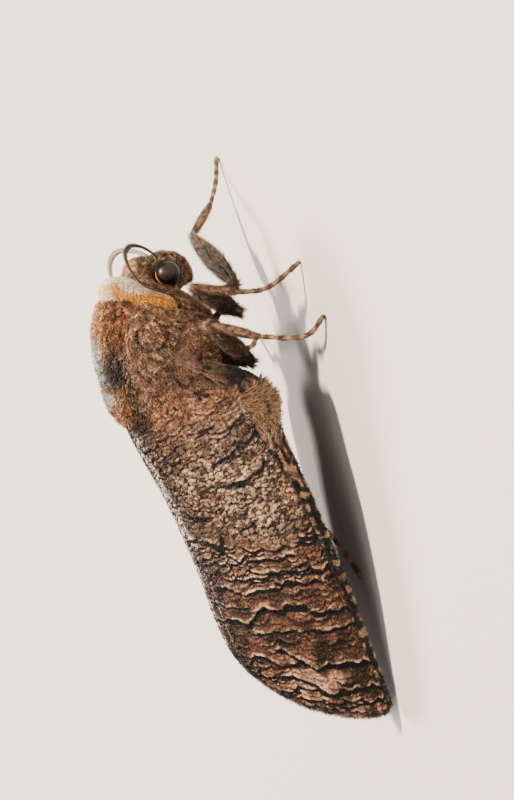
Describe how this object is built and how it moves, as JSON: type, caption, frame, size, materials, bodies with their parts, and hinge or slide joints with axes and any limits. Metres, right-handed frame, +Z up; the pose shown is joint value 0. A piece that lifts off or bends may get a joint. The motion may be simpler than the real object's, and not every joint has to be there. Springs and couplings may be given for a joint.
{
  "type": "moth",
  "caption": "Stout furry moth standing at rest, its bark-patterned wings folded like a steep roof along the back, feelers arched over the head.",
  "frame": {"origin": "on the ground under the middle of the moth's bounding box", "axes": "+X towards the head, +Y to the moth's left, +Z up; the moth stands on the plane z = 0"},
  "size_m": [0.052, 0.0282, 0.018],
  "materials": {
    "head_fur": "short rough scales, grey-brown speckled",
    "neck_fur": "short rough scales, dark brown speckled",
    "collar_fur": "dense short fur, silvery white with an ochre rear edge",
    "thorax_fur": "dense short fur, warm brown, with white and black patches on the back",
    "abdomen_fur": "short grey-brown fur in rings",
    "eye": "smooth and glossy",
    "antenna": "matt, with fine short combs",
    "forewing": "matt overlapping scales with dark cross lines, like bark",
    "hindwing": "matt overlapping scales, plain grey-brown",
    "leg_fur": "rough dark brown hair",
    "foot": "short scales, banded light and dark",
    "claw": "smooth dark horn"
  },
  "bodies": {
    "root": {"head": "head_fur", "neck": "neck_fur", "collar": "collar_fur", "thorax": "thorax_fur", "abdomen": "abdomen_fur", "eye_right": "eye", "palp_right": "head_fur", "antenna_right": "antenna", "tegula_right": "thorax_fur", "forewing_right": "forewing", "hindwing_right": "hindwing", "eye_left": "eye", "palp_left": "head_fur", "antenna_left": "antenna", "tegula_left": "thorax_fur", "forewing_left": "forewing", "hindwing_left": "hindwing", "foreleg_right_coxa": "leg_fur", "foreleg_right_femur": "leg_fur", "foreleg_right_tibia": "leg_fur", "foreleg_right_tarsus": "foot", "foreleg_left_coxa": "leg_fur", "foreleg_left_femur": "leg_fur", "foreleg_left_tibia": "leg_fur", "foreleg_left_tarsus": "foot", "midleg_right_coxa": "leg_fur", "midleg_right_femur": "leg_fur", "midleg_right_tibia": "leg_fur", "midleg_right_tarsus": "foot", "midleg_left_coxa": "leg_fur", "midleg_left_femur": "leg_fur", "midleg_left_tibia": "leg_fur", "midleg_left_tarsus": "foot", "hindleg_right_coxa": "leg_fur", "hindleg_right_femur": "leg_fur", "hindleg_right_tibia": "leg_fur", "hindleg_right_tarsus": "foot", "hindleg_left_coxa": "leg_fur", "hindleg_left_femur": "leg_fur", "hindleg_left_tibia": "leg_fur", "hindleg_left_tarsus": "foot"}
  },
  "joints": []
}
